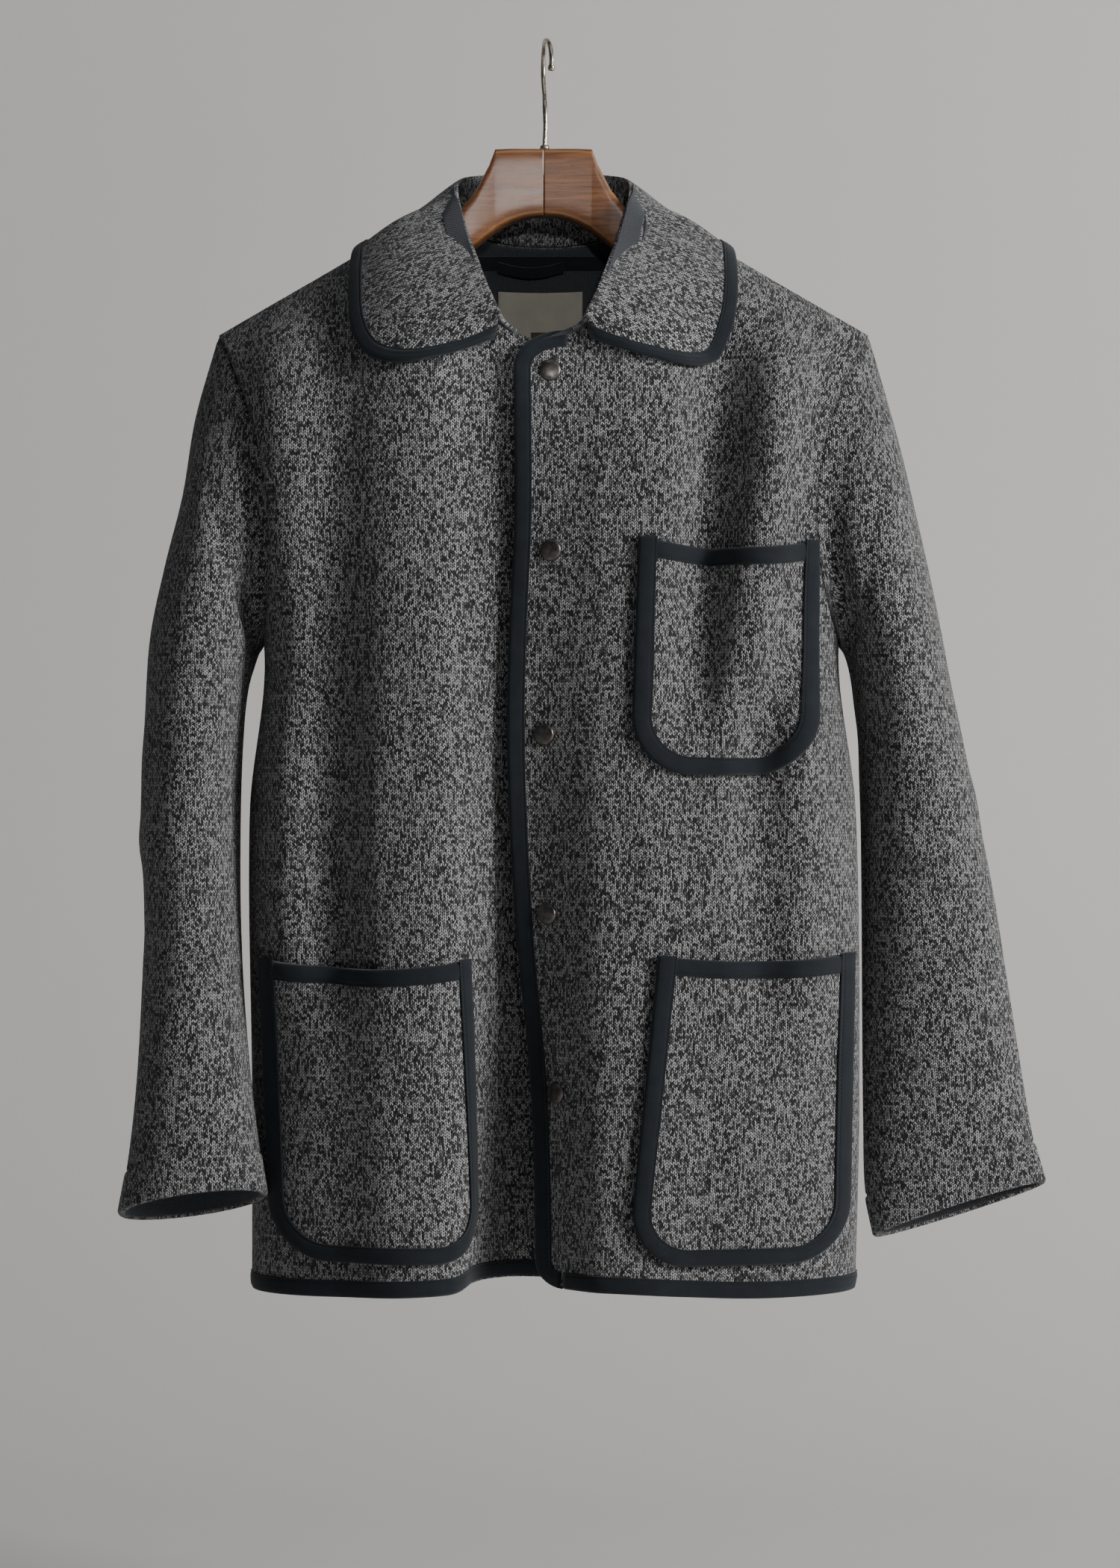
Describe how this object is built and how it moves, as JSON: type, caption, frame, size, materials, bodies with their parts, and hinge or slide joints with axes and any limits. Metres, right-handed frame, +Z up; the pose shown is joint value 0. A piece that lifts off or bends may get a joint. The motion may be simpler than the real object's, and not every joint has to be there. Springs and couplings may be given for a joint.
{
  "type": "chore jacket on hanger",
  "caption": "Thick marled knit chore jacket with taped edges, rounded collar, three patch pockets and snaps, hanging on a wooden hanger with a wire hook.",
  "frame": {"origin": "the point of the hook's inside where the hanger is held", "axes": "+Z up along the hook's stem, -Y out of the jacket's front, +X to the wearer's left"},
  "size_m": [0.646, 0.2056, 0.8792],
  "materials": {
    "knit": "matt",
    "tape": "matt",
    "label": "matt",
    "snap_metal": "satin",
    "wood": "satin",
    "hook_metal": "satin"
  },
  "bodies": {
    "root": {"front_left": "knit", "front_right": "knit", "back": "knit", "sleeve_right": "knit", "sleeve_left": "knit", "collar": "knit", "chest_pocket": "knit", "lower_pocket_left": "knit", "lower_pocket_right": "knit", "front_edge_binding_left": "tape", "hem_binding_left": "tape", "front_edge_binding_right": "tape", "hem_binding_right": "tape", "hem_binding_back": "tape", "chest_pocket_binding": "tape", "chest_pocket_top_binding": "tape", "lower_pocket_left_binding": "tape", "lower_pocket_left_top_binding": "tape", "lower_pocket_right_binding": "tape", "lower_pocket_right_top_binding": "tape", "collar_binding": "tape", "neck_tape": "tape", "hang_loop": "tape", "label": "label", "size_tab": "label", "snap_cap_1": "snap_metal", "snap_cap_2": "snap_metal", "snap_cap_3": "snap_metal", "snap_cap_4": "snap_metal", "snap_cap_5": "snap_metal", "snap_stud_1": "snap_metal", "snap_stud_2": "snap_metal", "snap_stud_3": "snap_metal", "snap_stud_4": "snap_metal", "snap_stud_5": "snap_metal", "hanger_left": "wood", "hanger_right": "wood", "ferrule": "hook_metal", "hook": "hook_metal"}
  },
  "joints": []
}
